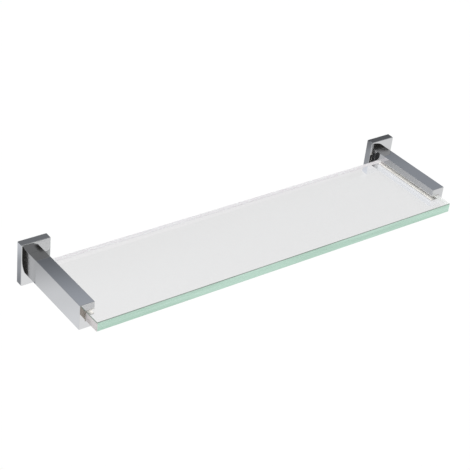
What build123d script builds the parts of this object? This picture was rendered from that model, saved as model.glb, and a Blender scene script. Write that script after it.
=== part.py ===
from build123d import *
import os

# Glass wall shelf on two chrome brackets, in millimetres.
#
# The origin is on the wall, midway between the two brackets and level with the middle of
# their rosettes. +X runs along the shelf, +Y points into the wall and +Z is up, so the shelf
# stands out of the wall towards -Y. Each bracket is a rosette over a hidden wall plate, with a
# rectangular arm that holds one end of the glass in a slot.

# ---- driving dimensions ----------------------------------------------------------------------

bracket_spacing = 420.0       # between the middles of the two rosettes

rosette_width = 30.0
rosette_height = 45.0
rosette_depth = 8.0
rosette_wall = 2.5            # side and top walls of the hollow cover
rosette_floor = 5.0           # bottom wall, thick enough to be tapped for the lock screw
rosette_web = 3.0             # front wall that the arm is bolted to
rosette_corner = 0.8          # small rounding of the four upright corners
rosette_rim = 0.5             # small rounding round the front face
cavity_corner = 1.0

arm_width = 15.0
arm_height = 26.0
arm_length = 90.0             # out from the rosette's front face
arm_drop = 1.5                # the arm sits this far below the middle of the rosette
arm_edge = 0.4                # small rounding of the long edges
arm_front_edge = 0.3

glass_thickness = 10.0
glass_arris = 0.6             # ground bevel along the edges of the plate
glass_corner = 1.0
glass_below_arm_top = 8.0
glass_overhang = 18.5         # the glass stands this far out in front of the arms
wall_gap = 14.0               # from the wall to the back edge of the glass
outer_cheek = 5.8             # solid side of the arm, outside the slot
liner_thickness = 0.5

# Screws and pins, by the radius of the thread or shank.
arm_screw_radius = 3.0
arm_screw_head_radius = 5.25
arm_screw_head_height = 3.3
arm_screw_length = 10.0
arm_screw_socket = 4.0        # across the flats
arm_screw_socket_depth = 2.0
arm_screw_hole_radius = 3.2   # clearance hole in the rosette's web
washer_outer_radius = 5.6
washer_inner_radius = 3.15
washer_thickness = 1.5
washer_split = 1.0
pin_radius = 1.5
pin_length = 9.0
clamp_radius = 2.0
clamp_length = 5.0
clamp_socket = 2.0            # across the flats
clamp_socket_depth = 2.0
clamp_recess = 1.0            # the screws end inside the lower lip
clamp_positions = (24.0, 66.0)    # out from the rosette's front face
pad_radius = 2.9
pad_thickness = 1.5
pad_pocket_radius = 3.0
lock_radius = 2.0
lock_length = 5.0
lock_socket = 2.0
lock_socket_depth = 2.0
lock_from_wall = 2.5
grub_point = 0.7              # chamfer on the point of a grub screw
thread_gap = 0.05             # radial room of each plain shank in its tapped hole

plate_thickness = 3.0
plate_side_gap = 0.2
plate_corner = 1.2
plate_edge = 0.3
wall_hole_spacing = 26.0      # one above the other
wall_hole_radius = 2.25
wall_hole_sink_radius = 3.75
head_clearance_radius = 6.0   # hole in the plate that the arm screw's head sits in

# ---- what follows from them ------------------------------------------------------------------

bracket_x = bracket_spacing / 2
arm_z = -arm_drop
arm_top = arm_z + arm_height / 2
arm_bottom = arm_z - arm_height / 2
arm_front = rosette_depth + arm_length

glass_top = arm_top - glass_below_arm_top
glass_z = glass_top - glass_thickness / 2
glass_front = arm_front + glass_overhang
glass_depth = glass_front - wall_gap
glass_inset = outer_cheek + liner_thickness
glass_length = bracket_spacing + arm_width - 2 * glass_inset

slot_height = glass_thickness + 2 * liner_thickness
slot_back = wall_gap - liner_thickness
slot_depth = arm_width - outer_cheek
slot_mid = outer_cheek + slot_depth / 2 - arm_width / 2     # from the arm's middle, inwards
lip_top = glass_z - slot_height / 2                         # upper face of the lower lip
lip_thickness = (arm_height - slot_height) / 2

cavity_width = rosette_width - 2 * rosette_wall
cavity_top = rosette_height / 2 - rosette_wall
cavity_bottom = -rosette_height / 2 + rosette_floor
cavity_height = cavity_top - cavity_bottom
cavity_z = (cavity_top + cavity_bottom) / 2
cavity_depth = rosette_depth - rosette_web

plate_width = cavity_width - 2 * plate_side_gap
plate_height = cavity_height - plate_side_gap
plate_z = cavity_top - plate_height / 2
plate_bottom = cavity_top - plate_height

pin_offset = (arm_height - lip_thickness) / 2               # up and down from the arm's middle
pin_depth = pin_length - rosette_web

# A sketch plane facing out of the wall: its x is +X, its y is +Z and its normal is -Y.
facing_room = Plane.XZ

os.makedirs("parts", exist_ok=True)


def save(piece, node):
    """Name a finished piece and write it as its own STEP file."""
    piece.label = node
    export_step(piece, f"parts/{node}.step")


# ---- glass -----------------------------------------------------------------------------------

# One plate of clear glass with ground edges. Its two ends sit in the slots of the arms, and
# its front edge stands out past them.
with BuildPart() as glass_shelf:
    with BuildSketch(Plane.XY.offset(glass_z - glass_thickness / 2)):
        with Locations((0, -(glass_front + wall_gap) / 2)):
            RectangleRounded(glass_length, glass_depth, glass_corner)
    extrude(amount=glass_thickness)
    flat_faces = glass_shelf.faces().filter_by(Axis.Z)
    chamfer(flat_faces.edges(), length=glass_arris)

save(glass_shelf.part, "glass_shelf")


# ---- brackets --------------------------------------------------------------------------------

for side, inward in (("left", 1), ("right", -1)):
    middle = -inward * bracket_x
    slot_x = middle + inward * slot_mid

    # Hollow cover against the wall. Its open back goes over the wall plate, its front web
    # takes the arm's screw and two pins, and its floor is tapped for the lock screw.
    with BuildPart() as rosette:
        with BuildSketch(facing_room):
            with Locations((middle, 0)):
                Rectangle(rosette_width, rosette_height)
        extrude(amount=rosette_depth)
        upright = rosette.edges().filter_by(Axis.Y)
        fillet(upright, radius=rosette_corner)
        front_rim = rosette.faces().sort_by(Axis.Y)[0].edges()
        fillet(front_rim, radius=rosette_rim)
        with BuildSketch(facing_room):
            with Locations((middle, cavity_z)):
                RectangleRounded(cavity_width, cavity_height, cavity_corner)
        extrude(amount=cavity_depth, mode=Mode.SUBTRACT)
        with BuildSketch(facing_room.offset(cavity_depth)):
            with Locations((middle, arm_z)):
                Circle(arm_screw_hole_radius)
            with Locations((middle, arm_z + pin_offset), (middle, arm_z - pin_offset)):
                Circle(pin_radius)
        extrude(amount=rosette_web, mode=Mode.SUBTRACT)
        with BuildSketch(Plane.XY.offset(-rosette_height / 2)):
            with Locations((middle, -lock_from_wall)):
                Circle(lock_radius)
        extrude(amount=rosette_floor, mode=Mode.SUBTRACT)

    save(rosette.part, f"{side}_rosette")

    # Steel plate that is screwed to the wall behind the cover. The cover hangs on its upper
    # edge, and the lock screw bears on its lower edge.
    with BuildPart() as wall_plate:
        with BuildSketch(facing_room):
            with Locations((middle, plate_z)):
                RectangleRounded(plate_width, plate_height, plate_corner)
            with Locations((middle, arm_z)):
                Circle(head_clearance_radius, mode=Mode.SUBTRACT)
        extrude(amount=plate_thickness)
        plate_front = wall_plate.faces().sort_by(Axis.Y)[0]
        chamfer(plate_front.outer_wire().edges(), length=plate_edge)
        with Locations(facing_room.offset(plate_thickness)):
            with Locations((middle, wall_hole_spacing / 2), (middle, -wall_hole_spacing / 2)):
                CounterSinkHole(wall_hole_radius, wall_hole_sink_radius, depth=plate_thickness)

    save(wall_plate.part, f"{side}_wall_plate")

    # Rectangular arm. Its slot opens towards the other bracket and at the front, and stops
    # short of the rosette, which leaves a solid block for the screw. The lower lip has two
    # tapped holes with pockets for the clamp pads.
    with BuildPart() as arm:
        with BuildSketch(facing_room.offset(rosette_depth)):
            with Locations((middle, arm_z)):
                Rectangle(arm_width, arm_height)
        extrude(amount=arm_length)
        fillet(arm.edges().filter_by(Axis.Y), radius=arm_edge)
        chamfer(arm.faces().sort_by(Axis.Y)[0].edges(), length=arm_front_edge)
        with BuildSketch(facing_room.offset(slot_back)):
            with Locations((slot_x, glass_z)):
                Rectangle(slot_depth, slot_height)
        extrude(amount=arm_front - slot_back, mode=Mode.SUBTRACT)
        with BuildSketch(facing_room.offset(rosette_depth)):
            with Locations((middle, arm_z)):
                Circle(arm_screw_radius)
        extrude(amount=slot_back - rosette_depth, mode=Mode.SUBTRACT)
        with BuildSketch(facing_room.offset(rosette_depth)):
            with Locations((middle, arm_z + pin_offset), (middle, arm_z - pin_offset)):
                Circle(pin_radius)
        extrude(amount=pin_depth, mode=Mode.SUBTRACT)
        clamp_points = [(slot_x, -rosette_depth - out) for out in clamp_positions]
        with BuildSketch(Plane.XY.offset(arm_bottom)):
            with Locations(*clamp_points):
                Circle(clamp_radius)
        extrude(amount=lip_thickness, mode=Mode.SUBTRACT)
        with BuildSketch(Plane.XY.offset(lip_top - pad_thickness)):
            with Locations(*clamp_points):
                Circle(pad_pocket_radius)
        extrude(amount=pad_thickness, mode=Mode.SUBTRACT)

    save(arm.part, f"{side}_arm")

    # Clear soft channel that lines the slot, so that the glass never touches metal. It is
    # closed at the back, where the glass stops against it.
    with BuildPart() as liner:
        with BuildSketch(facing_room.offset(slot_back)):
            with Locations((slot_x, glass_z)):
                Rectangle(slot_depth, slot_height)
        extrude(amount=arm_front - slot_back)
        with BuildSketch(facing_room.offset(wall_gap)):
            with Locations((slot_x + inward * liner_thickness, glass_z)):
                Rectangle(slot_depth, glass_thickness)
        extrude(amount=arm_front - wall_gap, mode=Mode.SUBTRACT)

    save(liner.part, f"{side}_glass_liner")

    # Button-head screw from inside the rosette into the arm's solid end.
    head_seat = cavity_depth - washer_thickness
    with BuildPart() as arm_screw:
        with BuildSketch(facing_room.offset(head_seat)):
            with Locations((middle, arm_z)):
                Circle(arm_screw_radius - thread_gap)
        extrude(amount=arm_screw_length)
        chamfer(arm_screw.faces().sort_by(Axis.Y)[0].edges(), length=grub_point)
        with BuildSketch(facing_room.offset(head_seat)):
            with Locations((middle, arm_z)):
                Circle(arm_screw_head_radius)
        extrude(amount=-arm_screw_head_height)
        head_rim = arm_screw.faces().sort_by(Axis.Y)[-1].edges()
        fillet(head_rim, radius=arm_screw_head_height / 2)
        with BuildSketch(facing_room.offset(head_seat - arm_screw_head_height)):
            with Locations((middle, arm_z)):
                RegularPolygon(arm_screw_socket / 2, 6, major_radius=False)
        extrude(amount=arm_screw_socket_depth, mode=Mode.SUBTRACT)

    save(arm_screw.part, f"{side}_arm_screw")

    # Split spring washer under the screw's head.
    with BuildPart() as washer:
        with BuildSketch(facing_room.offset(head_seat)):
            with Locations((middle, arm_z)):
                Circle(washer_outer_radius)
                Circle(washer_inner_radius, mode=Mode.SUBTRACT)
            with Locations((middle, arm_z + washer_outer_radius)):
                Rectangle(washer_split, washer_outer_radius, mode=Mode.SUBTRACT)
        extrude(amount=washer_thickness)

    save(washer.part, f"{side}_lock_washer")

    # Two dowel pins across the joint between arm and rosette, which stop the arm from turning.
    with BuildPart() as pins:
        with BuildSketch(facing_room.offset(cavity_depth)):
            with Locations((middle, arm_z + pin_offset), (middle, arm_z - pin_offset)):
                Circle(pin_radius)
        extrude(amount=pin_length)

    save(pins.part, f"{side}_locating_pins")

    # Grub screw up through the rosette's floor. It bears on the wall plate's lower edge.
    with BuildPart() as lock_screw:
        with BuildSketch(Plane.XY.offset(plate_bottom - lock_length)):
            with Locations((middle, -lock_from_wall)):
                Circle(lock_radius - thread_gap)
        extrude(amount=lock_length)
        chamfer(lock_screw.faces().sort_by(Axis.Z)[-1].edges(), length=grub_point)
        with BuildSketch(Plane.XY.offset(plate_bottom - lock_length)):
            with Locations((middle, -lock_from_wall)):
                RegularPolygon(lock_socket / 2, 6, major_radius=False)
        extrude(amount=lock_socket_depth, mode=Mode.SUBTRACT)

    save(lock_screw.part, f"{side}_rosette_lock_screw")

    # Nylon pads in the pockets of the lower lip, which press the liner against the glass.
    with BuildPart() as clamp_pads:
        with BuildSketch(Plane.XY.offset(lip_top - pad_thickness)):
            with Locations(*clamp_points):
                Circle(pad_radius)
        extrude(amount=pad_thickness)

    save(clamp_pads.part, f"{side}_clamp_pads")

    # Grub screws under the pads.
    clamp_start = lip_top - pad_thickness - clamp_length
    with BuildPart() as clamp_screws:
        with BuildSketch(Plane.XY.offset(clamp_start)):
            with Locations(*clamp_points):
                Circle(clamp_radius - thread_gap)
        extrude(amount=clamp_length)
        points = clamp_screws.faces().filter_by(Axis.Z).group_by(Axis.Z)[-1]
        chamfer(points.edges(), length=grub_point)
        with BuildSketch(Plane.XY.offset(clamp_start)):
            with Locations(*clamp_points):
                RegularPolygon(clamp_socket / 2, 6, major_radius=False)
        extrude(amount=clamp_socket_depth, mode=Mode.SUBTRACT)

    save(clamp_screws.part, f"{side}_clamp_screws")

print(f"glass {glass_length:.1f} x {glass_depth:.1f} x {glass_thickness:.1f}")
print(f"overall length {bracket_spacing + rosette_width:.1f}, out from the wall {glass_front:.1f}")
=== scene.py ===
# %% [markdown]
# # A glass wall shelf on two chrome brackets
#
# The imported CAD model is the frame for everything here. It says where each piece is and how
# large it is. This script builds the surfaces that the eye meets around that frame: polished
# chrome, clear glass with its green edge, and the small screws, pads and plates that hold the
# shelf together. Every length is in metres, and each piece takes its place from the frame.

# %% Load the frame
import math

import bmesh
import bpy
from mathutils import Matrix, Quaternion, Vector


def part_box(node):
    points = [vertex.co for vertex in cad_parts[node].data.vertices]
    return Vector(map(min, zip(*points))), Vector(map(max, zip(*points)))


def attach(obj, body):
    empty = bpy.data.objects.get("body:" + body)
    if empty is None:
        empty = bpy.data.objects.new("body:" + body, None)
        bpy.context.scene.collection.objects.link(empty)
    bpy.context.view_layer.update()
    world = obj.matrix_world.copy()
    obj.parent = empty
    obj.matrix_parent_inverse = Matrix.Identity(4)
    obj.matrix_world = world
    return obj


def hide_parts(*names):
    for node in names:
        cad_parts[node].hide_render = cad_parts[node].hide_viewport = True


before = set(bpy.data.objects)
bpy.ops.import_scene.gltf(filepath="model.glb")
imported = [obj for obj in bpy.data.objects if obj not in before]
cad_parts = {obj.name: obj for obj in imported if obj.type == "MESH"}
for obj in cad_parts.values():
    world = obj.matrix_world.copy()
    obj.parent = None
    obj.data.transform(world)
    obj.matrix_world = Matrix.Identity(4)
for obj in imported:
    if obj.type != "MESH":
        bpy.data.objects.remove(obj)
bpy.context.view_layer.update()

MM = 0.001
print("nodes in the frame:", len(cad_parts))

# %% [markdown]
# ## The studio
#
# Polished metal has no look of its own: it shows the room. So the room comes first. The floor
# is plain and pale, and white light comes from all sides onto matt surfaces. The camera looks
# from the front left and from above, with a long lens and a slight roll.

# %% The camera
CAMERA_PLACE = Vector((-0.7163, -0.8885, 0.7078))
CAMERA_AZIMUTH = math.radians(39.94)
CAMERA_ELEVATION = math.radians(33.12)
CAMERA_ROLL = math.radians(6.96)
CAMERA_LENS = 102.9

looking = Vector((
    math.sin(CAMERA_AZIMUTH) * math.cos(CAMERA_ELEVATION),
    math.cos(CAMERA_AZIMUTH) * math.cos(CAMERA_ELEVATION),
    -math.sin(CAMERA_ELEVATION),
))
camera_data = bpy.data.cameras.new("studio_camera")
camera_data.lens = CAMERA_LENS
camera = bpy.data.objects.new("studio_camera", camera_data)
camera.location = CAMERA_PLACE
camera.rotation_mode = "QUATERNION"
camera.rotation_quaternion = looking.to_track_quat("-Z", "Y") @ Quaternion((0, 0, 1), CAMERA_ROLL)
bpy.context.scene.collection.objects.link(camera)
bpy.context.scene.camera = camera
bpy.context.scene.view_settings.view_transform = "Standard"
print("camera looks along", tuple(round(v, 3) for v in looking))

# %% [markdown]
# Each material below is a small network of nodes. The helpers here keep the networks short to
# read. The first adds a node and sets its inputs. The next few join nodes that are often used
# together: a smooth ramp, a mix of two numbers or colours, and a grey value turned into a colour.


# %% Helpers for node networks
def add_node(tree, kind, inputs=None, **settings):
    """Add a node. An input's value is a number, a colour, or another node's output."""
    node = tree.nodes.new(kind)
    for name, value in settings.items():
        setattr(node, name, value)
    for name, value in (inputs or {}).items():
        if isinstance(value, bpy.types.NodeSocket):
            tree.links.new(value, node.inputs[name])
        else:
            node.inputs[name].default_value = value
    return node


def blend_range(tree, value, low, high, at_low=0.0, at_high=1.0):
    """A value that goes smoothly from at_low to at_high as the input goes from low to high."""
    ramp = add_node(tree, "ShaderNodeMapRange", {
        "Value": value, "From Min": low, "From Max": high, "To Min": at_low, "To Max": at_high,
    }, interpolation_type="SMOOTHSTEP")
    return ramp.outputs["Result"]


def mix_numbers(tree, factor, first, second):
    """first where factor is 0, second where it is 1."""
    mix = add_node(tree, "ShaderNodeMix", data_type="FLOAT")
    for socket, value in zip(mix.inputs[:4], (factor, None, first, second)):
        if isinstance(value, bpy.types.NodeSocket):
            tree.links.new(value, socket)
        elif value is not None:
            socket.default_value = value
    return mix.outputs[0]


def mix_colours(tree, factor, first, second):
    """first where factor is 0, second where it is 1. Each is a colour or another node's output."""
    mix = add_node(tree, "ShaderNodeMix", data_type="RGBA")
    tree.links.new(factor, mix.inputs[0])
    for socket, value in zip(mix.inputs[6:8], (first, second)):
        if isinstance(value, bpy.types.NodeSocket):
            tree.links.new(value, socket)
        else:
            socket.default_value = (*value, 1.0)
    return mix.outputs[2]


def tint(tree, value, colour):
    """A grey value turned into a colour."""
    node = add_node(tree, "ShaderNodeVectorMath", {0: colour}, operation="SCALE")
    tree.links.new(value, node.inputs["Scale"])
    return node.outputs["Vector"]


def more_than(tree, value, limit):
    """1 where the value is above the limit, and 0 elsewhere."""
    test = add_node(tree, "ShaderNodeMath", {0: value, 1: limit}, operation="GREATER_THAN")
    return test.outputs[0]


# %% [markdown]
# Some lights in a studio are hung for one reflection only, and hidden from every other. Light
# Path does that here. It knows how often a ray has crossed glass or left a mirror, so a card can
# show itself to some rays and let the others through.


# %% Helpers for lights that only some rays see
def seen_under_glass(tree, reflected_only=True):
    """1 for a ray that has crossed glass and then left a mirror, and 0 for every other ray."""
    path = add_node(tree, "ShaderNodeLightPath").outputs
    crossed = path["Transmission Depth"]
    if reflected_only:
        crossed = add_node(tree, "ShaderNodeMath", {
            0: crossed, 1: path["Is Reflection Ray"],
        }, operation="MULTIPLY").outputs[0]
    return more_than(tree, crossed, 0.5)


def show_only_where(tree, surface, shown):
    """A surface that can be seen where shown is 1, and passed through where it is 0."""
    either = add_node(tree, "ShaderNodeMixShader", {"Fac": shown})
    clear = add_node(tree, "ShaderNodeBsdfTransparent")
    tree.links.new(clear.outputs[0], either.inputs[1])
    tree.links.new(surface, either.inputs[2])
    return either.outputs[0]


def empty_material(name):
    material = bpy.data.materials.new(name)
    material.use_nodes = True
    material.node_tree.nodes.clear()
    return material, material.node_tree


# %% [markdown]
# The world holds two rooms in one. Matt surfaces and the camera see plain white. Gloss and
# glass see a studio: white below, and a dim ceiling above. Metal that lies under the glass gets
# extra light, because a white table throws light up into the plate from all sides.

# %% The room around the shelf
world = bpy.data.worlds.new("studio_room")
world.use_nodes = True
bpy.context.scene.world = world
room = world.node_tree
room.nodes.clear()
toward = add_node(room, "ShaderNodeTexCoord").outputs["Generated"]
split = add_node(room, "ShaderNodeSeparateXYZ", {"Vector": toward})
right, back, up = split.outputs

low_right = blend_range(room, right, 0.45, 0.64, 1.03, 0.90)
low = mix_numbers(room, blend_range(room, right, -0.8, 0.3), 0.80, low_right)
low = mix_numbers(room, seen_under_glass(room), low, 1.5)
high_front = blend_range(room, right, 0.42, 0.62, 0.29, 0.52)
high = mix_numbers(room, blend_range(room, back, -0.15, 0.2), high_front, 0.42)
studio = mix_numbers(room, blend_range(room, up, -0.05, 0.05), low, high)

path = add_node(room, "ShaderNodeLightPath")
gloss_or_glass = add_node(room, "ShaderNodeMath", {
    0: path.outputs["Is Glossy Ray"], 1: path.outputs["Is Transmission Ray"],
}, operation="MAXIMUM").outputs[0]
seen = mix_numbers(room, gloss_or_glass, 1.0, studio)
background = add_node(room, "ShaderNodeBackground", {
    "Color": (1.0, 1.0, 1.0, 1.0), "Strength": seen,
})
add_node(room, "ShaderNodeOutputWorld", {"Surface": background.outputs[0]})
print("room nodes:", len(room.nodes))


# %% [markdown]
# Cards stand in the room, as in a product studio. The floor is a plain pale sheet under the
# shelf. The tall card behind is what the upward faces show: dim low down, and lighter higher up.
# The low card on the left is what the outward sides show. Most cards are there for gloss only,
# so the other kinds of ray are switched off for them.


# %% Helpers for glowing cards
def graded(tree, value, stops):
    """A brightness that passes smoothly through these (place, brightness) stops."""
    strength = stops[0][1]
    for (start, _), (end, bright) in zip(stops, stops[1:]):
        step = blend_range(tree, value, start, end)
        strength = mix_numbers(tree, step, strength, bright)
    return strength


def glow(name, along, stops, across=None, turn=(0.0, 1.0), far_stops=None,
         colour=(1.0, 1.0, 1.0), under_glass=None, kind="card"):
    """A glowing finish graded along one axis. Past a turn on a second axis, far_stops apply.

    under_glass is the even brightness for rays that have crossed the glass. A "floor" lets the
    eye pass through it from below. A "flag" shows itself only after two mirrors.
    """
    material, tree = empty_material(name)
    place = add_node(tree, "ShaderNodeTexCoord").outputs["Object"]
    axes = add_node(tree, "ShaderNodeSeparateXYZ", {"Vector": place}).outputs
    strength = graded(tree, axes[along], stops)
    if far_stops:
        far = graded(tree, axes[along], far_stops)
        strength = mix_numbers(tree, blend_range(tree, axes[across], *turn), strength, far)
    if under_glass:
        crossed = seen_under_glass(tree, reflected_only=kind != "strip")
        strength = mix_numbers(tree, crossed, strength, under_glass)
    emission = add_node(tree, "ShaderNodeEmission", {"Color": (*colour, 1.0), "Strength": strength})
    surface = emission.outputs[0]
    if kind == "floor":
        below = add_node(tree, "ShaderNodeNewGeometry").outputs["Backfacing"]
        above = add_node(tree, "ShaderNodeMath", {0: 1.0, 1: below}, operation="SUBTRACT")
        surface = show_only_where(tree, surface, above.outputs[0])
    if kind == "flag":
        mirrors = add_node(tree, "ShaderNodeLightPath").outputs["Glossy Depth"]
        surface = show_only_where(tree, surface, more_than(tree, mirrors, 1.5))
    add_node(tree, "ShaderNodeOutputMaterial", {"Surface": surface})
    return material


def card(name, corner, width, height, material, seen_by):
    """A flat card from its lowest corner, along two directions."""
    bm = bmesh.new()
    verts = [bm.verts.new(corner + p) for p in (Vector(), width, width + height, height)]
    bm.faces.new(verts)
    mesh = bpy.data.meshes.new(name)
    bm.to_mesh(mesh)
    bm.free()
    mesh.materials.append(material)
    sheet = bpy.data.objects.new(name, mesh)
    bpy.context.scene.collection.objects.link(sheet)
    for ray in ("camera", "diffuse", "glossy", "transmission", "shadow"):
        setattr(sheet, f"visible_{ray}", ray in seen_by)
    sheet.visible_volume_scatter = False
    return sheet


# %% [markdown]
# The stops below are places along one axis of a card, each with its brightness. Soft steps
# between them give chrome its long, slow change from dark to light, which a plain white card
# can't give.

# %% Floor and cards
FLOOR_LEVEL = -0.35
floor = card(
    "pale_floor", Vector((-6, -6, FLOOR_LEVEL)), Vector((12, 0, 0)), Vector((0, 12, 0)),
    glow("pale_floor", "Y", ((-6.0, 1.0), (6.0, 1.01)), kind="floor"),
    ("camera", "diffuse", "transmission"),
)
rear_card = card(
    "rear_card", Vector((-1.5, 0.45, 0.0)), Vector((4.0, 0, 0)), Vector((0, 0, 1.6)),
    glow(
        "rear_card", "Z", ((0.37, 0.17), (0.50, 0.50), (1.0, 0.6)),
        "X", (0.2, 0.6), ((0.36, 0.30), (0.44, 0.38), (1.0, 0.6)), (0.92, 0.97, 1.06),
    ),
    ("glossy",),
)
side_card = card(
    "side_card", Vector((-1.4, 0.1, FLOOR_LEVEL + 0.002)), Vector((1.4, 0, 0)), Vector((0, 1.2, 0)),
    glow(
        "side_card", "Y", ((0.28, 0.92), (0.34, 0.83), (0.43, 0.52)),
        "X", (-0.46, -0.26), ((0.28, 0.78), (0.36, 0.72), (0.43, 0.62)),
        (0.99, 1.0, 1.02), 1.5,
    ),
    ("glossy", "transmission"),
)
print("cards:", floor.name, rear_card.name, side_card.name)

# %% [markdown]
# Two more kinds of card are small. The wall right beside a rosette lies in its shade, and the
# rosette's thin sides show nothing but that strip of wall. And black flags give polished chrome
# its dark accents. Each flag stands where the mirror in a rosette shows it beside its arm.

# %% Wall strips and black flags
WALL_BEHIND = 0.005
STRIP_BOTTOM = -0.045
STRIP_HEIGHT = 0.0777
wall_strips = (
    ("left", -0.2322, -0.187, ((-0.0295, 0.31), (-0.007, 0.45), (0.0155, 0.75), (0.0235, 0.22))),
    ("right", 0.1816, 0.2387, ((-0.03, 0.42), (0.0, 0.41), (0.0155, 0.26), (0.0235, 0.14))),
)
for side, start, end, stops in wall_strips:
    finish = glow(
        f"{side}_wall_strip", "Z", stops, colour=(0.97, 1.0, 1.06), under_glass=1.3, kind="strip",
    )
    card(
        f"{side}_wall_strip", Vector((start, WALL_BEHIND, STRIP_BOTTOM)),
        Vector((end - start, 0, 0)), Vector((0, 0, STRIP_HEIGHT)), finish, ("glossy",),
    )

flags = (
    ("left_low", (-0.3263, -0.20, -0.19), (0.0663, 0, 0), (0, 0, 0.09)),
    ("right_low", (0.0022, -0.20, -0.20), (0.0578, 0, 0), (0, 0, 0.12)),
    ("left_high", (0.0122, -0.40, 0.309), (0.0120, 0, 0), (0.0088, 0, 0.0134)),
    ("right_high", (0.5600, -0.40, 0.200), (0.1000, 0, 0), (0, 0, 0.1245)),
)
black = glow("black_flag", "Z", ((-0.2, 0.04), (0.4, 0.03)), colour=(1.05, 1.0, 0.92), kind="flag")
for name, corner, width, height in flags:
    card(
        f"{name}_flag", Vector(corner), Vector(width), Vector(height), black,
        ("glossy", "transmission"),
    )
print("flags:", len(flags))

# %% [markdown]
# ## Finishes
#
# Real chrome is never perfectly even. It has a faint waviness from the polishing wheel, and
# traces of wiping. Both are too fine to model, so a node group makes them from noise, and gives
# a roughness and a height that each glossy material uses in its own strength.


# %% Shared effect: a wiped, polished surface
def start_group(name, inputs, outputs):
    """An empty node group with these named inputs, each with a default, and these outputs."""
    group = bpy.data.node_groups.new(name, "ShaderNodeTree")
    for socket, default in inputs.items():
        made = group.interface.new_socket(socket, in_out="INPUT", socket_type="NodeSocketFloat")
        made.default_value = default
    for socket, kind in outputs.items():
        group.interface.new_socket(socket, in_out="OUTPUT", socket_type=kind)
    entry = group.nodes.new("NodeGroupInput")
    exit_node = group.nodes.new("NodeGroupOutput")
    return group, entry.outputs, exit_node.inputs


def use_group(tree, group, **values):
    """Place a group in a material, with this material's own values."""
    node = tree.nodes.new("ShaderNodeGroup")
    node.node_tree = group
    for name, value in values.items():
        node.inputs[name.replace("_", " ")].default_value = value
    return node.outputs


FLOAT = "NodeSocketFloat"

wiped, entry, leave = start_group(
    "wiped_polish",
    {"Roughness": 0.03, "Smear": 0.02, "Wave Size": 60.0},
    {"Roughness": FLOAT, "Height": FLOAT},
)
place = add_node(wiped, "ShaderNodeTexCoord").outputs["Object"]
stretched = add_node(wiped, "ShaderNodeMapping", {"Vector": place, "Scale": (40.0, 12.0, 90.0)})
traces = add_node(wiped, "ShaderNodeTexNoise", {
    "Vector": stretched.outputs[0], "Scale": 1.0, "Detail": 4.0, "Roughness": 0.6,
}).outputs["Fac"]
smear = add_node(wiped, "ShaderNodeMath", {0: traces, 1: entry["Smear"]}, operation="MULTIPLY")
rough = add_node(wiped, "ShaderNodeMath", {0: smear.outputs[0], 1: entry["Roughness"]})
wiped.links.new(rough.outputs[0], leave["Roughness"])
waves = add_node(wiped, "ShaderNodeTexNoise", {
    "Vector": place, "Scale": entry["Wave Size"], "Detail": 1.0,
}).outputs["Fac"]
wiped.links.new(waves, leave["Height"])
print("group:", wiped.name)


# %% [markdown]
# Screws, pins and plates are turned or stamped, and then only tumbled clean. Their surface has
# fine lines and a mottled tone. The same network serves stainless steel and zinc, with other
# numbers.

# %% Shared effect: fine worked lines
lined, entry, leave = start_group(
    "worked_lines",
    {"Roughness": 0.25, "Spread": 0.2, "Fineness": 900.0, "Mottle": 0.15},
    {"Roughness": FLOAT, "Tone": FLOAT, "Height": FLOAT},
)
place = add_node(lined, "ShaderNodeTexCoord").outputs["Object"]
thin = add_node(lined, "ShaderNodeMapping", {"Vector": place, "Scale": (1.0, 0.08, 1.0)})
lines = add_node(lined, "ShaderNodeTexNoise", {
    "Vector": thin.outputs[0], "Scale": entry["Fineness"], "Detail": 3.0,
}).outputs["Fac"]
spread = add_node(lined, "ShaderNodeMath", {0: lines, 1: entry["Spread"]}, operation="MULTIPLY")
rough = add_node(lined, "ShaderNodeMath", {0: spread.outputs[0], 1: entry["Roughness"]})
blotches = add_node(lined, "ShaderNodeTexNoise", {"Vector": place, "Scale": 260.0, "Detail": 4.0})
fade = add_node(lined, "ShaderNodeMath", {
    0: blotches.outputs["Fac"], 1: entry["Mottle"],
}, operation="MULTIPLY")
tone = add_node(lined, "ShaderNodeMath", {0: 1.0, 1: fade.outputs[0]}, operation="SUBTRACT")
lined.links.new(rough.outputs[0], leave["Roughness"])
lined.links.new(tone.outputs[0], leave["Tone"])
lined.links.new(lines, leave["Height"])
print("group:", lined.name)


# %% [markdown]
# Plated chrome is a metal with a slightly cool colour. It reflects about two thirds of the
# light that meets it. A Principled shader with Metallic at 1 does this with its colour alone, so
# the finish needs only the traces of wiping in its roughness, and a waviness too faint to see
# except in the reflections.


# %% Chrome
def principled(tree, **inputs):
    """A Principled shader joined to the material's output."""
    named = {name.replace("_", " "): value for name, value in inputs.items()}
    shader = add_node(tree, "ShaderNodeBsdfPrincipled", named)
    add_node(tree, "ShaderNodeOutputMaterial", {"Surface": shader.outputs[0]})
    return shader


def bump(tree, height, distance, strength=1.0):
    node = add_node(tree, "ShaderNodeBump", {
        "Height": height, "Distance": distance, "Strength": strength,
    })
    return node.outputs["Normal"]


chrome, tree = empty_material("polished_chrome")
polish = use_group(tree, wiped, Roughness=0.02, Smear=0.03, Wave_Size=45.0)
principled(
    tree, Base_Color=(0.655, 0.66, 0.67, 1.0), Metallic=1.0, Roughness=polish["Roughness"],
    Normal=bump(tree, polish["Height"], 0.00001),
)
print("material:", chrome.name)
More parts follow.
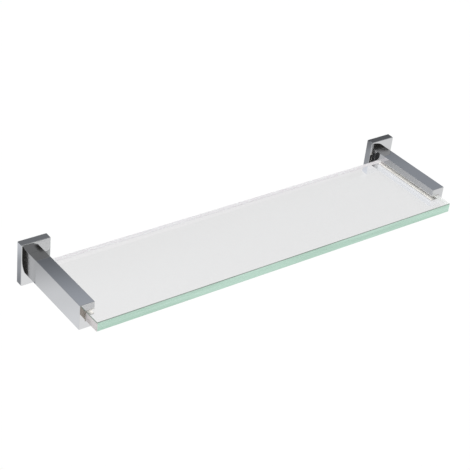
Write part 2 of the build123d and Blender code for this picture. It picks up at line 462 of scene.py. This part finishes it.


# %% [markdown]
# The glass has five finishes on one plate. Its two large faces are clear. Its long edges look
# green, because the light in them has crossed the whole plate. The short ends are paler. All the
# edges are ground and polished, so they scatter a little. The narrow bevels along the front and
# the ends catch the dim ceiling instead, and show as a thin darker line.
#
# A real edge gathers light that has been trapped in the plate. Tracing that light is slow and
# noisy, so here the edges have a soft light of their own, on the inside only. Their image in the
# chrome gets a painted colour of its own too. It is painted shade, browner for the short ends and
# nearly black for the back edge in the right bracket, and painted light for the back edge in the
# left.


# %% Glass
clear_glass, tree = empty_material("clear_plate_glass")
polish = use_group(tree, wiped, Roughness=0.0, Smear=0.012, Wave_Size=20.0)
principled(
    tree, Base_Color=(0.86, 0.86, 0.86, 1.0), Metallic=0.0, Transmission_Weight=1.0, IOR=1.52,
    Roughness=polish["Roughness"],
)


def edge_glass(name, deep, pale, painted_mirror_image=None, inner_glow=(0.54, 0.56, 0.55)):
    """Ground glass edge, whose green drifts between two tones along the plate.

    painted_mirror_image holds painted light and shade: the colours of its image in the left and
    in the right chrome bracket.
    inner_glow is its own light as seen from inside the plate, where light gathers.
    """
    material, tree = empty_material(name)
    polish = use_group(tree, wiped, Roughness=0.12, Smear=0.1, Wave_Size=300.0)
    place = add_node(tree, "ShaderNodeTexCoord").outputs["Object"]
    long_way = add_node(tree, "ShaderNodeMapping", {"Vector": place, "Scale": (9.0, 60.0, 160.0)})
    drift = add_node(tree, "ShaderNodeTexNoise", {"Vector": long_way.outputs[0], "Scale": 1.0})
    finish = mix_colours(tree, blend_range(tree, drift.outputs["Fac"], 0.35, 0.65), deep, pale)
    # Seen in a chrome bracket, the edge takes painted light and shade instead: the colours of its
    # image.
    if painted_mirror_image:
        across = add_node(tree, "ShaderNodeSeparateXYZ", {"Vector": place}).outputs["X"]
        image = mix_colours(tree, blend_range(tree, across, -0.1, 0.1), *painted_mirror_image)
        in_mirror = add_node(tree, "ShaderNodeLightPath").outputs["Is Reflection Ray"]
        finish = mix_colours(tree, in_mirror, finish, image)
    from_inside = add_node(tree, "ShaderNodeNewGeometry").outputs["Backfacing"]
    principled(
        tree, Base_Color=finish, Metallic=0.0, Transmission_Weight=0.1, IOR=1.52,
        Roughness=polish["Roughness"], Normal=bump(tree, polish["Height"], 0.00001),
        Emission_Color=tint(tree, from_inside, inner_glow), Emission_Strength=1.0,
    )
    return material


long_edge = edge_glass("green_glass_edge", (0.40, 0.60, 0.49), (0.47, 0.68, 0.57))
# The short ends' image in both brackets is painted browner, as painted shade.
short_edge = edge_glass(
    "pale_glass_end", (0.59, 0.56, 0.56), (0.68, 0.64, 0.64),
    painted_mirror_image=((0.36, 0.30, 0.255), (0.36, 0.30, 0.255)),
)
bevel_edge = edge_glass("glass_bevel", (0.27, 0.33, 0.29), (0.33, 0.39, 0.35))
# The back edge's image is painted light in the left bracket, and painted black shade in the right.
back_edge = edge_glass(
    "back_glass_edge", (0.40, 0.60, 0.49), (0.47, 0.68, 0.57),
    painted_mirror_image=((0.70, 0.71, 0.70), (0.02, 0.02, 0.02)), inner_glow=(0.58, 0.49, 0.55),
)
glass_finishes = [clear_glass, long_edge, short_edge, bevel_edge, back_edge]
CLEAR, LONG_EDGE, SHORT_EDGE, BEVEL, BACK_EDGE = range(len(glass_finishes))
print("glass finishes:", [finish.name for finish in glass_finishes])

# %% [markdown]
# The metal parts inside the brackets are of two kinds. Screws, pins and washers are stainless
# steel, turned on a lathe, with fine bright lines. The wall plates are stamped from steel and
# plated with zinc, which is duller and more mottled. The pads under the glass are plain nylon.

# %% Stainless steel, zinc and nylon
stainless, tree = empty_material("turned_stainless")
work = use_group(tree, lined, Roughness=0.18, Spread=0.22, Fineness=1400.0, Mottle=0.12)
principled(
    tree, Base_Color=tint(tree, work["Tone"], (0.60, 0.60, 0.59)), Metallic=1.0,
    Roughness=work["Roughness"], Normal=bump(tree, work["Height"], 0.00002),
)

zinc, tree = empty_material("zinc_plated_steel")
work = use_group(tree, lined, Roughness=0.3, Spread=0.25, Fineness=500.0, Mottle=0.35)
principled(
    tree, Base_Color=tint(tree, work["Tone"], (0.66, 0.68, 0.70)), Metallic=1.0,
    Roughness=work["Roughness"], Normal=bump(tree, work["Height"], 0.00003),
)

nylon, tree = empty_material("natural_nylon")
work = use_group(tree, lined, Roughness=0.45, Spread=0.2, Fineness=700.0, Mottle=0.1)
principled(
    tree, Base_Color=tint(tree, work["Tone"], (0.84, 0.82, 0.75)), Metallic=0.0,
    Subsurface_Weight=0.2, Subsurface_Scale=0.001, Roughness=work["Roughness"],
    Normal=bump(tree, work["Height"], 0.00002),
)

print("materials:", stainless.name, zinc.name, nylon.name)

# %% [markdown]
# The liner is a thin strip of clear vinyl. Clear plastic in a dark slot looks light at its mouth
# and darker inside. So painted shade follows the distance from the middle of the shelf: light up
# to the mouth of the slot, and darker toward its end. Near the mouth the vinyl also glows with
# painted light. Its cut edges are painted dark above the glass, as the shadow in the gap under the
# arm's lip, and lighter below it.

# %% Clear liner
LINER_MOUTH = 0.2026
LINER_DEEP = 0.2085

liner_vinyl, tree = empty_material("liner_vinyl")
polish = use_group(tree, wiped, Roughness=0.15, Smear=0.15, Wave_Size=400.0)
place = add_node(tree, "ShaderNodeTexCoord").outputs["Object"]
across = add_node(tree, "ShaderNodeSeparateXYZ", {"Vector": place}).outputs["X"]
from_middle = add_node(tree, "ShaderNodeMath", {0: across}, operation="ABSOLUTE").outputs[0]
# Painted light at the mouth of the slot, and painted shade deeper in.
painted_light_at_mouth = blend_range(tree, from_middle, LINER_MOUTH, LINER_DEEP, 1.0, 0.0)
shade = add_node(tree, "ShaderNodeMath", {
    0: painted_light_at_mouth, 1: 0.20, 2: 0.72,
}, operation="MULTIPLY_ADD").outputs[0]
# The vinyl's glow is painted light, strongest at the mouth.
principled(
    tree, Base_Color=tint(tree, shade, (1.0, 0.98, 0.95)), Metallic=0.0,
    Transmission_Weight=0.3, IOR=1.45, Roughness=polish["Roughness"],
    Normal=bump(tree, polish["Height"], 0.00003),
    Emission_Color=tint(tree, painted_light_at_mouth, (1.0, 0.99, 0.96)), Emission_Strength=0.5,
)


def liner_edge(name, shadowed_upper, lower):
    """The cut edge of the liner: painted shadow above the glass, and a lighter colour below it."""
    material, tree = empty_material(name)
    polish = use_group(tree, wiped, Roughness=0.35, Smear=0.2, Wave_Size=700.0)
    place = add_node(tree, "ShaderNodeTexCoord").outputs["Object"]
    height = add_node(tree, "ShaderNodeSeparateXYZ", {"Vector": place}).outputs["Z"]
    above_glass = blend_range(tree, height, -1 * MM, 1 * MM)
    principled(
        tree, Base_Color=mix_colours(tree, above_glass, lower, shadowed_upper), Metallic=0.0, IOR=1.45,
        Roughness=polish["Roughness"], Normal=bump(tree, polish["Height"], 0.00003),
    )
    return material


# Above the glass the cut edges are painted dark, as the shadow in the gap under the arm's lip.
liner_front = liner_edge("liner_front_edge", (0.34, 0.30, 0.26), (0.50, 0.47, 0.43))
liner_inner = liner_edge("liner_inner_edge", (0.10, 0.10, 0.10), (0.85, 0.84, 0.82))
liner_finishes = [liner_vinyl, liner_front, liner_inner]
LINER_FRONT, LINER_INNER = 1, 2
print("materials made:", len(bpy.data.materials))

# %% [markdown]
# ## Building pieces
#
# Each piece is a bmesh that becomes an object at the origin, with its place in its mesh. The
# faces are shaded smooth with weighted normals. That keeps the large faces truly flat in their
# reflections, and lets only the small roundings turn the light. The operators may number the
# same vertices and faces in another order from run to run, so both are sorted by their place.


# %% Helpers for pieces
SMOOTH_UP_TO = math.radians(40)


def in_order(place):
    """One number for a point, to sort by X, then Y, then Z, the same in every run."""
    x, y, z = (round(c / MM, 2) for c in place)
    return x * 1e9 + y * 1e4 + z


def make_piece(bm, name, node, finishes):
    """Turn a bmesh into a piece that stands for a CAD node."""
    bm.verts.sort(key=lambda v: in_order(v.co))
    bm.faces.sort(key=lambda f: in_order(f.calc_center_median()))
    mesh = bpy.data.meshes.new(name)
    bm.to_mesh(mesh)
    bm.free()
    for finish in finishes:
        mesh.materials.append(finish)
    mesh.shade_smooth()
    mesh.set_sharp_from_angle(angle=SMOOTH_UP_TO)
    piece = bpy.data.objects.new(name, mesh)
    bpy.context.scene.collection.objects.link(piece)
    weighted = piece.modifiers.new("flat faces stay flat", "WEIGHTED_NORMAL")
    weighted.keep_sharp = True
    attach(piece, "root")
    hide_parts(node)
    print(f"{name}: {len(mesh.polygons)} faces")
    return piece


def block(bm, low, high):
    """A plain block between two corners, to be cut and rounded."""
    size = high - low
    place = Matrix.Translation((low + high) / 2) @ Matrix.Diagonal((*size, 1.0))
    return bmesh.ops.create_cube(bm, size=1.0, matrix=place)["verts"]


def soften(bm, edges, radius, segments=3):
    """Round these edges."""
    bmesh.ops.bevel(
        bm, geom=edges, offset=radius, offset_type="OFFSET", segments=segments, profile=0.5,
        affect="EDGES", material=-1, clamp_overlap=True,
    )


def sharp_edges(bm, over=30.0):
    """The edges that turn by more than this many degrees."""
    folds = [e for e in bm.edges if len(e.link_faces) == 2]
    return [e for e in folds if e.calc_face_angle() > math.radians(over)]


# %% [markdown]
# An opening in a flat face is made in three steps. The face is taken out, loops of edges are
# laid in its plane, and the surface between the outlines is filled again. A blind hole then
# gets its loop drawn inwards. A through hole has a loop in both faces, and a wall between them.


# %% Helpers for openings
def cut_openings(bm, face, loops):
    """Replace a face with one that has these loops of edges as openings."""
    outline = list(face.edges)
    normal = face.normal.copy()
    index = face.material_index
    bmesh.ops.delete(bm, geom=[face], context="FACES_ONLY")
    edges = outline + [e for loop in loops for e in loop]
    made = bmesh.ops.triangle_fill(bm, edges=edges, use_beauty=True, normal=normal)["geom"]
    for new in made:
        if isinstance(new, bmesh.types.BMFace):
            new.material_index = index


def round_loop(bm, centre, radius, facing, segments=32):
    """A circle of edges around a centre, in the plane that looks along facing."""
    turn = facing.to_track_quat("Z", "Y").to_matrix().to_4x4()
    made = bmesh.ops.create_circle(
        bm, segments=segments, radius=radius, cap_ends=False,
        matrix=Matrix.Translation(centre) @ turn,
    )["verts"]
    return list(dict.fromkeys(e for v in made for e in v.link_edges))


def draw_in(bm, loop, by, close=True):
    """Draw a loop along a vector to make a wall. The far end is closed, or given back."""
    made = bmesh.ops.extrude_edge_only(bm, edges=loop)["geom"]
    verts = [g for g in made if isinstance(g, bmesh.types.BMVert)]
    bmesh.ops.translate(bm, verts=verts, vec=by)
    far = [e for e in made if isinstance(e, bmesh.types.BMEdge)
           and all(v in verts for v in e.verts)]
    if close:
        bmesh.ops.edgeloop_fill(bm, edges=far)
    return far


def face_at(bm, point, direction):
    """The face that looks this way and holds this point."""
    for face in bm.faces:
        if face.normal.dot(direction) > 0.999 and bmesh.geometry.intersect_face_point(face, point):
            if abs((point - face.verts[0].co).dot(direction)) < 0.01 * MM:
                return face
    raise RuntimeError(f"no face at {tuple(point)}")


# %% [markdown]
# ## The glass plate
#
# One block of glass. Its four upright corners are eased, and then the rims of both faces get
# their ground bevel. Which finish a face gets follows from where it looks.


# %% Glass plate
GLASS_CORNER = 1.0 * MM
GLASS_BEVEL = 0.6 * MM


def glass_finish_for(normal):
    """The finish of a face of the plate that looks this way."""
    tilted = abs(normal.z) > 0.1
    if abs(normal.z) > 0.99:
        return CLEAR
    if normal.y > 0.1:
        return BACK_EDGE
    if tilted and normal.x < 0.3:
        return BEVEL
    return SHORT_EDGE if abs(normal.x) > 0.3 else LONG_EDGE


def build_glass():
    low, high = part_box("glass_shelf")
    bm = bmesh.new()
    block(bm, low, high)
    half = 0.5 * (high - low).z
    upright = [e for e in bm.edges if abs((e.verts[0].co - e.verts[1].co).z) > half]
    soften(bm, upright, GLASS_CORNER, segments=5)
    rims = [e for e in bm.edges if sum(abs(f.normal.z) > 0.99 for f in e.link_faces) == 1]
    soften(bm, rims, GLASS_BEVEL, segments=1)
    for face in bm.faces:
        face.material_index = glass_finish_for(face.normal)
    return make_piece(bm, "glass_plate", "glass_shelf", glass_finishes)


glass_plate = build_glass()


# %% [markdown]
# ## The arms and their liners
#
# An arm is a solid bar with a slot. It starts as the slot's end wall and the C-shaped face
# around it. Drawn back, the two make the solid end that the screw holds. Drawn forward, the C
# alone makes the long slotted part. The clear liner has the same form with thin walls, so both
# come from one function.


# %% Slotted bar
def slotted_bar(bm, low, high, slot_low, slot_high, slot_back, inward):
    """A bar along Y between two corners, with a slot that opens inwards and at the front."""
    outer, inner = (low.x, high.x) if inward > 0 else (high.x, low.x)
    bottom = slot_low.x if inward > 0 else slot_high.x
    outline = (
        (outer, low.z), (inner, low.z), (inner, slot_low.z), (bottom, slot_low.z),
        (bottom, slot_high.z), (inner, slot_high.z), (inner, high.z), (outer, high.z),
    )
    ring = [bm.verts.new((x, slot_back, z)) for x, z in outline]
    c_face = bm.faces.new(ring)
    end_wall = bm.faces.new((ring[2], ring[5], ring[4], ring[3]))
    rear = bmesh.ops.extrude_face_region(bm, geom=[c_face, end_wall], use_keep_orig=True)["geom"]
    rear_verts = [g for g in rear if isinstance(g, bmesh.types.BMVert)]
    bmesh.ops.translate(bm, verts=rear_verts, vec=(0, high.y - slot_back, 0))
    rear_faces = [g for g in rear if isinstance(g, bmesh.types.BMFace)
                  and all(v in rear_verts for v in g.verts)]
    bmesh.ops.dissolve_faces(bm, faces=rear_faces, use_verts=True)
    front = bmesh.ops.extrude_face_region(bm, geom=[c_face])["geom"]
    front_verts = [g for g in front if isinstance(g, bmesh.types.BMVert)]
    bmesh.ops.translate(bm, verts=front_verts, vec=(0, low.y - slot_back, 0))
    if c_face.is_valid:
        bmesh.ops.delete(bm, geom=[c_face], context="FACES_ONLY")
    bmesh.ops.recalc_face_normals(bm, faces=bm.faces)
    flat = [e for e in bm.edges if len(e.link_faces) == 2 and e.calc_face_angle() < 0.001]
    bmesh.ops.dissolve_edges(bm, edges=flat, use_verts=True)


# %% [markdown]
# Each arm is drilled in two places. In its rear end there is a hole for the screw that holds it
# to the rosette, with a blind hole for a pin above it and one below it. In its lower lip there
# are two threaded holes for the clamp screws. Every hole takes its place from the CAD screw or
# pin that sits in it, so the two can't drift apart.


# %% Holes in an arm
SCREW_HOLE_RADIUS = 3.0 * MM
SHANK_ROOM = 0.05 * MM
END_ROOM = 0.1 * MM
PAD_ROOM = 0.1 * MM


def drill_rear(bm, side, rear, slot_rear):
    """The screw hole through the solid end, and the two blind pin holes beside it."""
    screw_low, screw_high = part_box(f"{side}_arm_screw")
    pins_low, pins_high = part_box(f"{side}_locating_pins")
    middle = (screw_low + screw_high) / 2
    pin_radius = (pins_high.x - pins_low.x) / 2
    out = Vector((0, 1, 0))
    screw = round_loop(bm, Vector((middle.x, rear, middle.z)), SCREW_HOLE_RADIUS, out)
    pins = [
        round_loop(bm, Vector((middle.x, rear, z)), pin_radius + SHANK_ROOM, out, 20)
        for z in (pins_high.z - pin_radius, pins_low.z + pin_radius)
    ]
    cut_openings(bm, face_at(bm, Vector((middle.x, rear, middle.z)), out), [screw, *pins])
    slot_wall = face_at(bm, Vector((middle.x, slot_rear, middle.z)), -out)
    far = draw_in(bm, screw, Vector((0, slot_rear - rear, 0)), close=False)
    cut_openings(bm, slot_wall, [far])
    for loop in pins:
        draw_in(bm, loop, Vector((0, pins_low.y - rear - END_ROOM, 0)))


def drill_clamps(bm, side, bottom, slot_floor):
    """Threaded holes from below for the clamp screws, and shallow pockets for their pads."""
    screws_low, screws_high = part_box(f"{side}_clamp_screws")
    pads_low, pads_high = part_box(f"{side}_clamp_pads")
    screw_r = (screws_high.x - screws_low.x) / 2
    pad_r = (pads_high.x - pads_low.x) / 2
    x = (screws_low.x + screws_high.x) / 2
    rows = (screws_low.y + screw_r, screws_high.y - screw_r)
    below = Vector((0, 0, -1))
    above = Vector((0, 0, 1))
    holes = [round_loop(bm, Vector((x, y, bottom)), screw_r + SHANK_ROOM, below, 24) for y in rows]
    cut_openings(bm, face_at(bm, Vector((x, rows[0], bottom)), below), holes)
    pockets = [round_loop(bm, Vector((x, y, slot_floor)), pad_r + PAD_ROOM, above) for y in rows]
    cut_openings(bm, face_at(bm, Vector((x, rows[0], slot_floor)), above), pockets)
    for hole, pocket in zip(holes, pockets):
        draw_in(bm, hole, Vector((0, 0, pads_low.z - bottom - SHANK_ROOM)))
        draw_in(bm, pocket, Vector((0, 0, pads_low.z - slot_floor)))


# %% [markdown]
# The edges of an arm are rounded before it is drilled, so that the rounding finds only the long
# edges. The liner stays sharp, because it is cut from a strip. It is made a little thinner than
# its CAD solid, so that no two surfaces lie in one plane.


# %% Arms and liners
ARM_ROUNDING = 0.3 * MM
LINER_SLACK = Vector((1, 1, 1)) * 0.03 * MM
LINER_INWARD = 0.21


def build_arm(side, inward):
    low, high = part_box(f"{side}_arm")
    slot_low, slot_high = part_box(f"{side}_glass_liner")
    bm = bmesh.new()
    slotted_bar(bm, low, high, slot_low, slot_high, slot_high.y, inward)
    soften(bm, sharp_edges(bm), ARM_ROUNDING)
    drill_rear(bm, side, high.y, slot_high.y)
    drill_clamps(bm, side, low.z, slot_low.z)
    return make_piece(bm, f"{side}_slotted_arm", f"{side}_arm", [chrome])


def build_liner(side, inward):
    low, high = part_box(f"{side}_glass_liner")
    glass_low, glass_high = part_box("glass_shelf")
    bm = bmesh.new()
    slotted_bar(
        bm, low + LINER_SLACK, high - LINER_SLACK, glass_low - LINER_SLACK,
        glass_high + LINER_SLACK, glass_high.y + LINER_SLACK.y, inward,
    )
    for face in bm.faces:
        at_mouth = face.calc_center_median().x * inward > -LINER_INWARD
        if face.normal.y < -0.9:
            face.material_index = LINER_FRONT
        elif face.normal.x * inward > 0.9 and at_mouth:
            face.material_index = LINER_INNER
    return make_piece(
        bm, f"{side}_liner", f"{side}_glass_liner", liner_finishes,
    )


arms = [build_arm(side, inward) for side, inward in (("left", 1), ("right", -1))]
liners = [build_liner(side, inward) for side, inward in (("left", 1), ("right", -1))]


# %% [markdown]
# ## The rosettes
#
# A rosette is a hollow cover. The polishing wheel rolls its rim over a little, and that makes
# the reflection of the arm bend near the edge. A solid with such a rim is easiest to build as a
# stack of rounded rectangles, each a little smaller or deeper than the last, with a skin of
# faces between them. The stack starts at the bottom of the cavity, comes out over the rim at
# the wall, goes along the sides, and ends in the middle of the front face.


# %% Helpers for the stack of rings
def rounded_ring(bm, level, low, high, inset, radius, steps=5):
    """A rounded rectangle of vertices in the plane Y = level."""
    left, right = low.x + inset, high.x - inset
    bottom, top = low.z + inset, high.z - inset
    centres = (
        (right - radius, top - radius), (left + radius, top - radius),
        (left + radius, bottom + radius), (right - radius, bottom + radius),
    )
    ring = []
    for quarter, (x, z) in enumerate(centres):
        for step in range(steps):
            angle = (quarter + step / (steps - 1)) * math.pi / 2
            place = (x + radius * math.cos(angle), level, z + radius * math.sin(angle))
            ring.append(bm.verts.new(place))
    return ring


def skin(bm, rings):
    """Faces between each ring and the next, and a cap on both ends."""
    for first, second in zip(rings, rings[1:]):
        for n in range(len(first)):
            bm.faces.new((first[n - 1], first[n], second[n], second[n - 1]))
    bm.faces.new(rings[0])
    bm.faces.new(rings[-1])
    bmesh.ops.recalc_face_normals(bm, faces=bm.faces)


# %% [markdown]
# Three groups of rings make the cover. The first lines the cavity that hides the wall plate and
# turns out over the rim. The second rounds the front edge by a quarter circle. The third is the
# rolled border, where each ring lies a little higher than the last, by less and less.


# %% The shape of a rosette
CORNER = 0.8 * MM
RIM = 0.5 * MM
RIM_STEPS = 5
ROLL_WIDTH = 3.0 * MM
ROLL_DEPTH = 0.2 * MM
ROLL_STEPS = 6
CAVITY_DEPTH = 5.0 * MM
CAVITY_CORNER = 1.0 * MM
CAVITY_EASE = 0.15 * MM
PLATE_GAP = 0.2 * MM
WALL_EASE = 0.2 * MM


def cover_rings(bm, low, high, inner_low, inner_high):
    """The rings of a rosette, from the bottom of its cavity to the middle of its front."""
    wall = high.y
    front = low.y
    eased = CAVITY_CORNER + 0.1 * MM
    rings = [
        rounded_ring(bm, wall - CAVITY_DEPTH, inner_low, inner_high, 0, CAVITY_CORNER),
        rounded_ring(bm, wall - CAVITY_EASE, inner_low, inner_high, 0, CAVITY_CORNER),
        rounded_ring(bm, wall, inner_low, inner_high, -CAVITY_EASE, eased),
        rounded_ring(bm, wall, low, high, WALL_EASE, CORNER),
        rounded_ring(bm, wall - WALL_EASE, low, high, 0, CORNER),
    ]
    for step in range(RIM_STEPS):
        angle = step / (RIM_STEPS - 1) * math.pi / 2
        inset = RIM * (1 - math.cos(angle))
        level = front + ROLL_DEPTH + RIM * (1 - math.sin(angle))
        rings.append(rounded_ring(bm, level, low, high, inset, CORNER))
    for step in range(1, ROLL_STEPS + 1):
        share = step / ROLL_STEPS
        level = front + ROLL_DEPTH * (1 - share) ** 2
        rings.append(rounded_ring(bm, level, low, high, RIM + ROLL_WIDTH * share, CORNER))
    return rings


# %% [markdown]
# The cavity's floor has a hole for the arm's screw and two for the pins. They are blind here,
# because the arm covers their far side. The lock screw comes in through the underside, where
# nobody sees it.


# %% Rosettes
ARM_SCREW_HOLE = 3.2 * MM
WEB_HOLE_DEPTH = 2.8 * MM
LOCK_HOLE_RADIUS = 2.0 * MM
LOCK_HOLE_DEPTH = 4.6 * MM


def drill_rosette(bm, side, low, high):
    """The three holes in the cavity's floor, and the lock screw's hole in the underside."""
    screw_low, screw_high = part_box(f"{side}_arm_screw")
    pins_low, pins_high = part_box(f"{side}_locating_pins")
    middle = (low.x + high.x) / 2
    floor_level = high.y - CAVITY_DEPTH
    pin_r = (pins_high.x - pins_low.x) / 2
    holes = (
        ((screw_low.z + screw_high.z) / 2, ARM_SCREW_HOLE),
        (pins_high.z - pin_r, pin_r + SHANK_ROOM),
        (pins_low.z + pin_r, pin_r + SHANK_ROOM),
    )
    out = Vector((0, 1, 0))
    loops = [round_loop(bm, Vector((middle, floor_level, z)), r, out) for z, r in holes]
    cavity_floor = face_at(bm, Vector((middle, floor_level, (low.z + high.z) / 2)), out)
    cut_openings(bm, cavity_floor, loops)
    for loop in loops:
        draw_in(bm, loop, Vector((0, -WEB_HOLE_DEPTH, 0)))
    lock_low, lock_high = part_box(f"{side}_rosette_lock_screw")
    entry_point = Vector((middle, (lock_low.y + lock_high.y) / 2, low.z))
    down = Vector((0, 0, -1))
    underside = face_at(bm, entry_point, down)
    loop = round_loop(bm, entry_point, LOCK_HOLE_RADIUS, down)
    cut_openings(bm, underside, [loop])
    draw_in(bm, loop, Vector((0, 0, LOCK_HOLE_DEPTH)))


def build_rosette(side):
    low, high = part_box(f"{side}_rosette")
    plate_low, plate_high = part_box(f"{side}_wall_plate")
    inner_low = plate_low - Vector((PLATE_GAP, 0, PLATE_GAP))
    inner_high = plate_high + Vector((PLATE_GAP, 0, 0))
    bm = bmesh.new()
    skin(bm, cover_rings(bm, low, high, inner_low, inner_high))
    drill_rosette(bm, side, low, high)
    bmesh.ops.recalc_face_normals(bm, faces=bm.faces)
    return make_piece(bm, f"{side}_wall_rosette", f"{side}_rosette", [chrome])


rosettes = [build_rosette(side) for side in ("left", "right")]

# %% [markdown]
# ## Small parts
#
# The screws, pins, washers, pads and plates keep their CAD shapes, and take the finish of the
# metal or plastic that they are made of.

# %% Finishes for the CAD parts that stay
FINISH_OF = {
    "wall_plate": zinc, "arm_screw": stainless, "lock_washer": stainless,
    "locating_pins": stainless, "rosette_lock_screw": stainless, "clamp_screws": stainless,
    "clamp_pads": nylon,
}
for node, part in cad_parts.items():
    kind = node.split("_", 1)[1]
    if kind in FINISH_OF and not part.hide_render:
        part.data.materials.clear()
        part.data.materials.append(FINISH_OF[kind])
        print(node, "->", FINISH_OF[kind].name)

# %% [markdown]
# The last step counts the pieces that were built.

# %% The end
pieces = [glass_plate, *arms, *liners, *rosettes]
print("pieces built:", len(pieces))
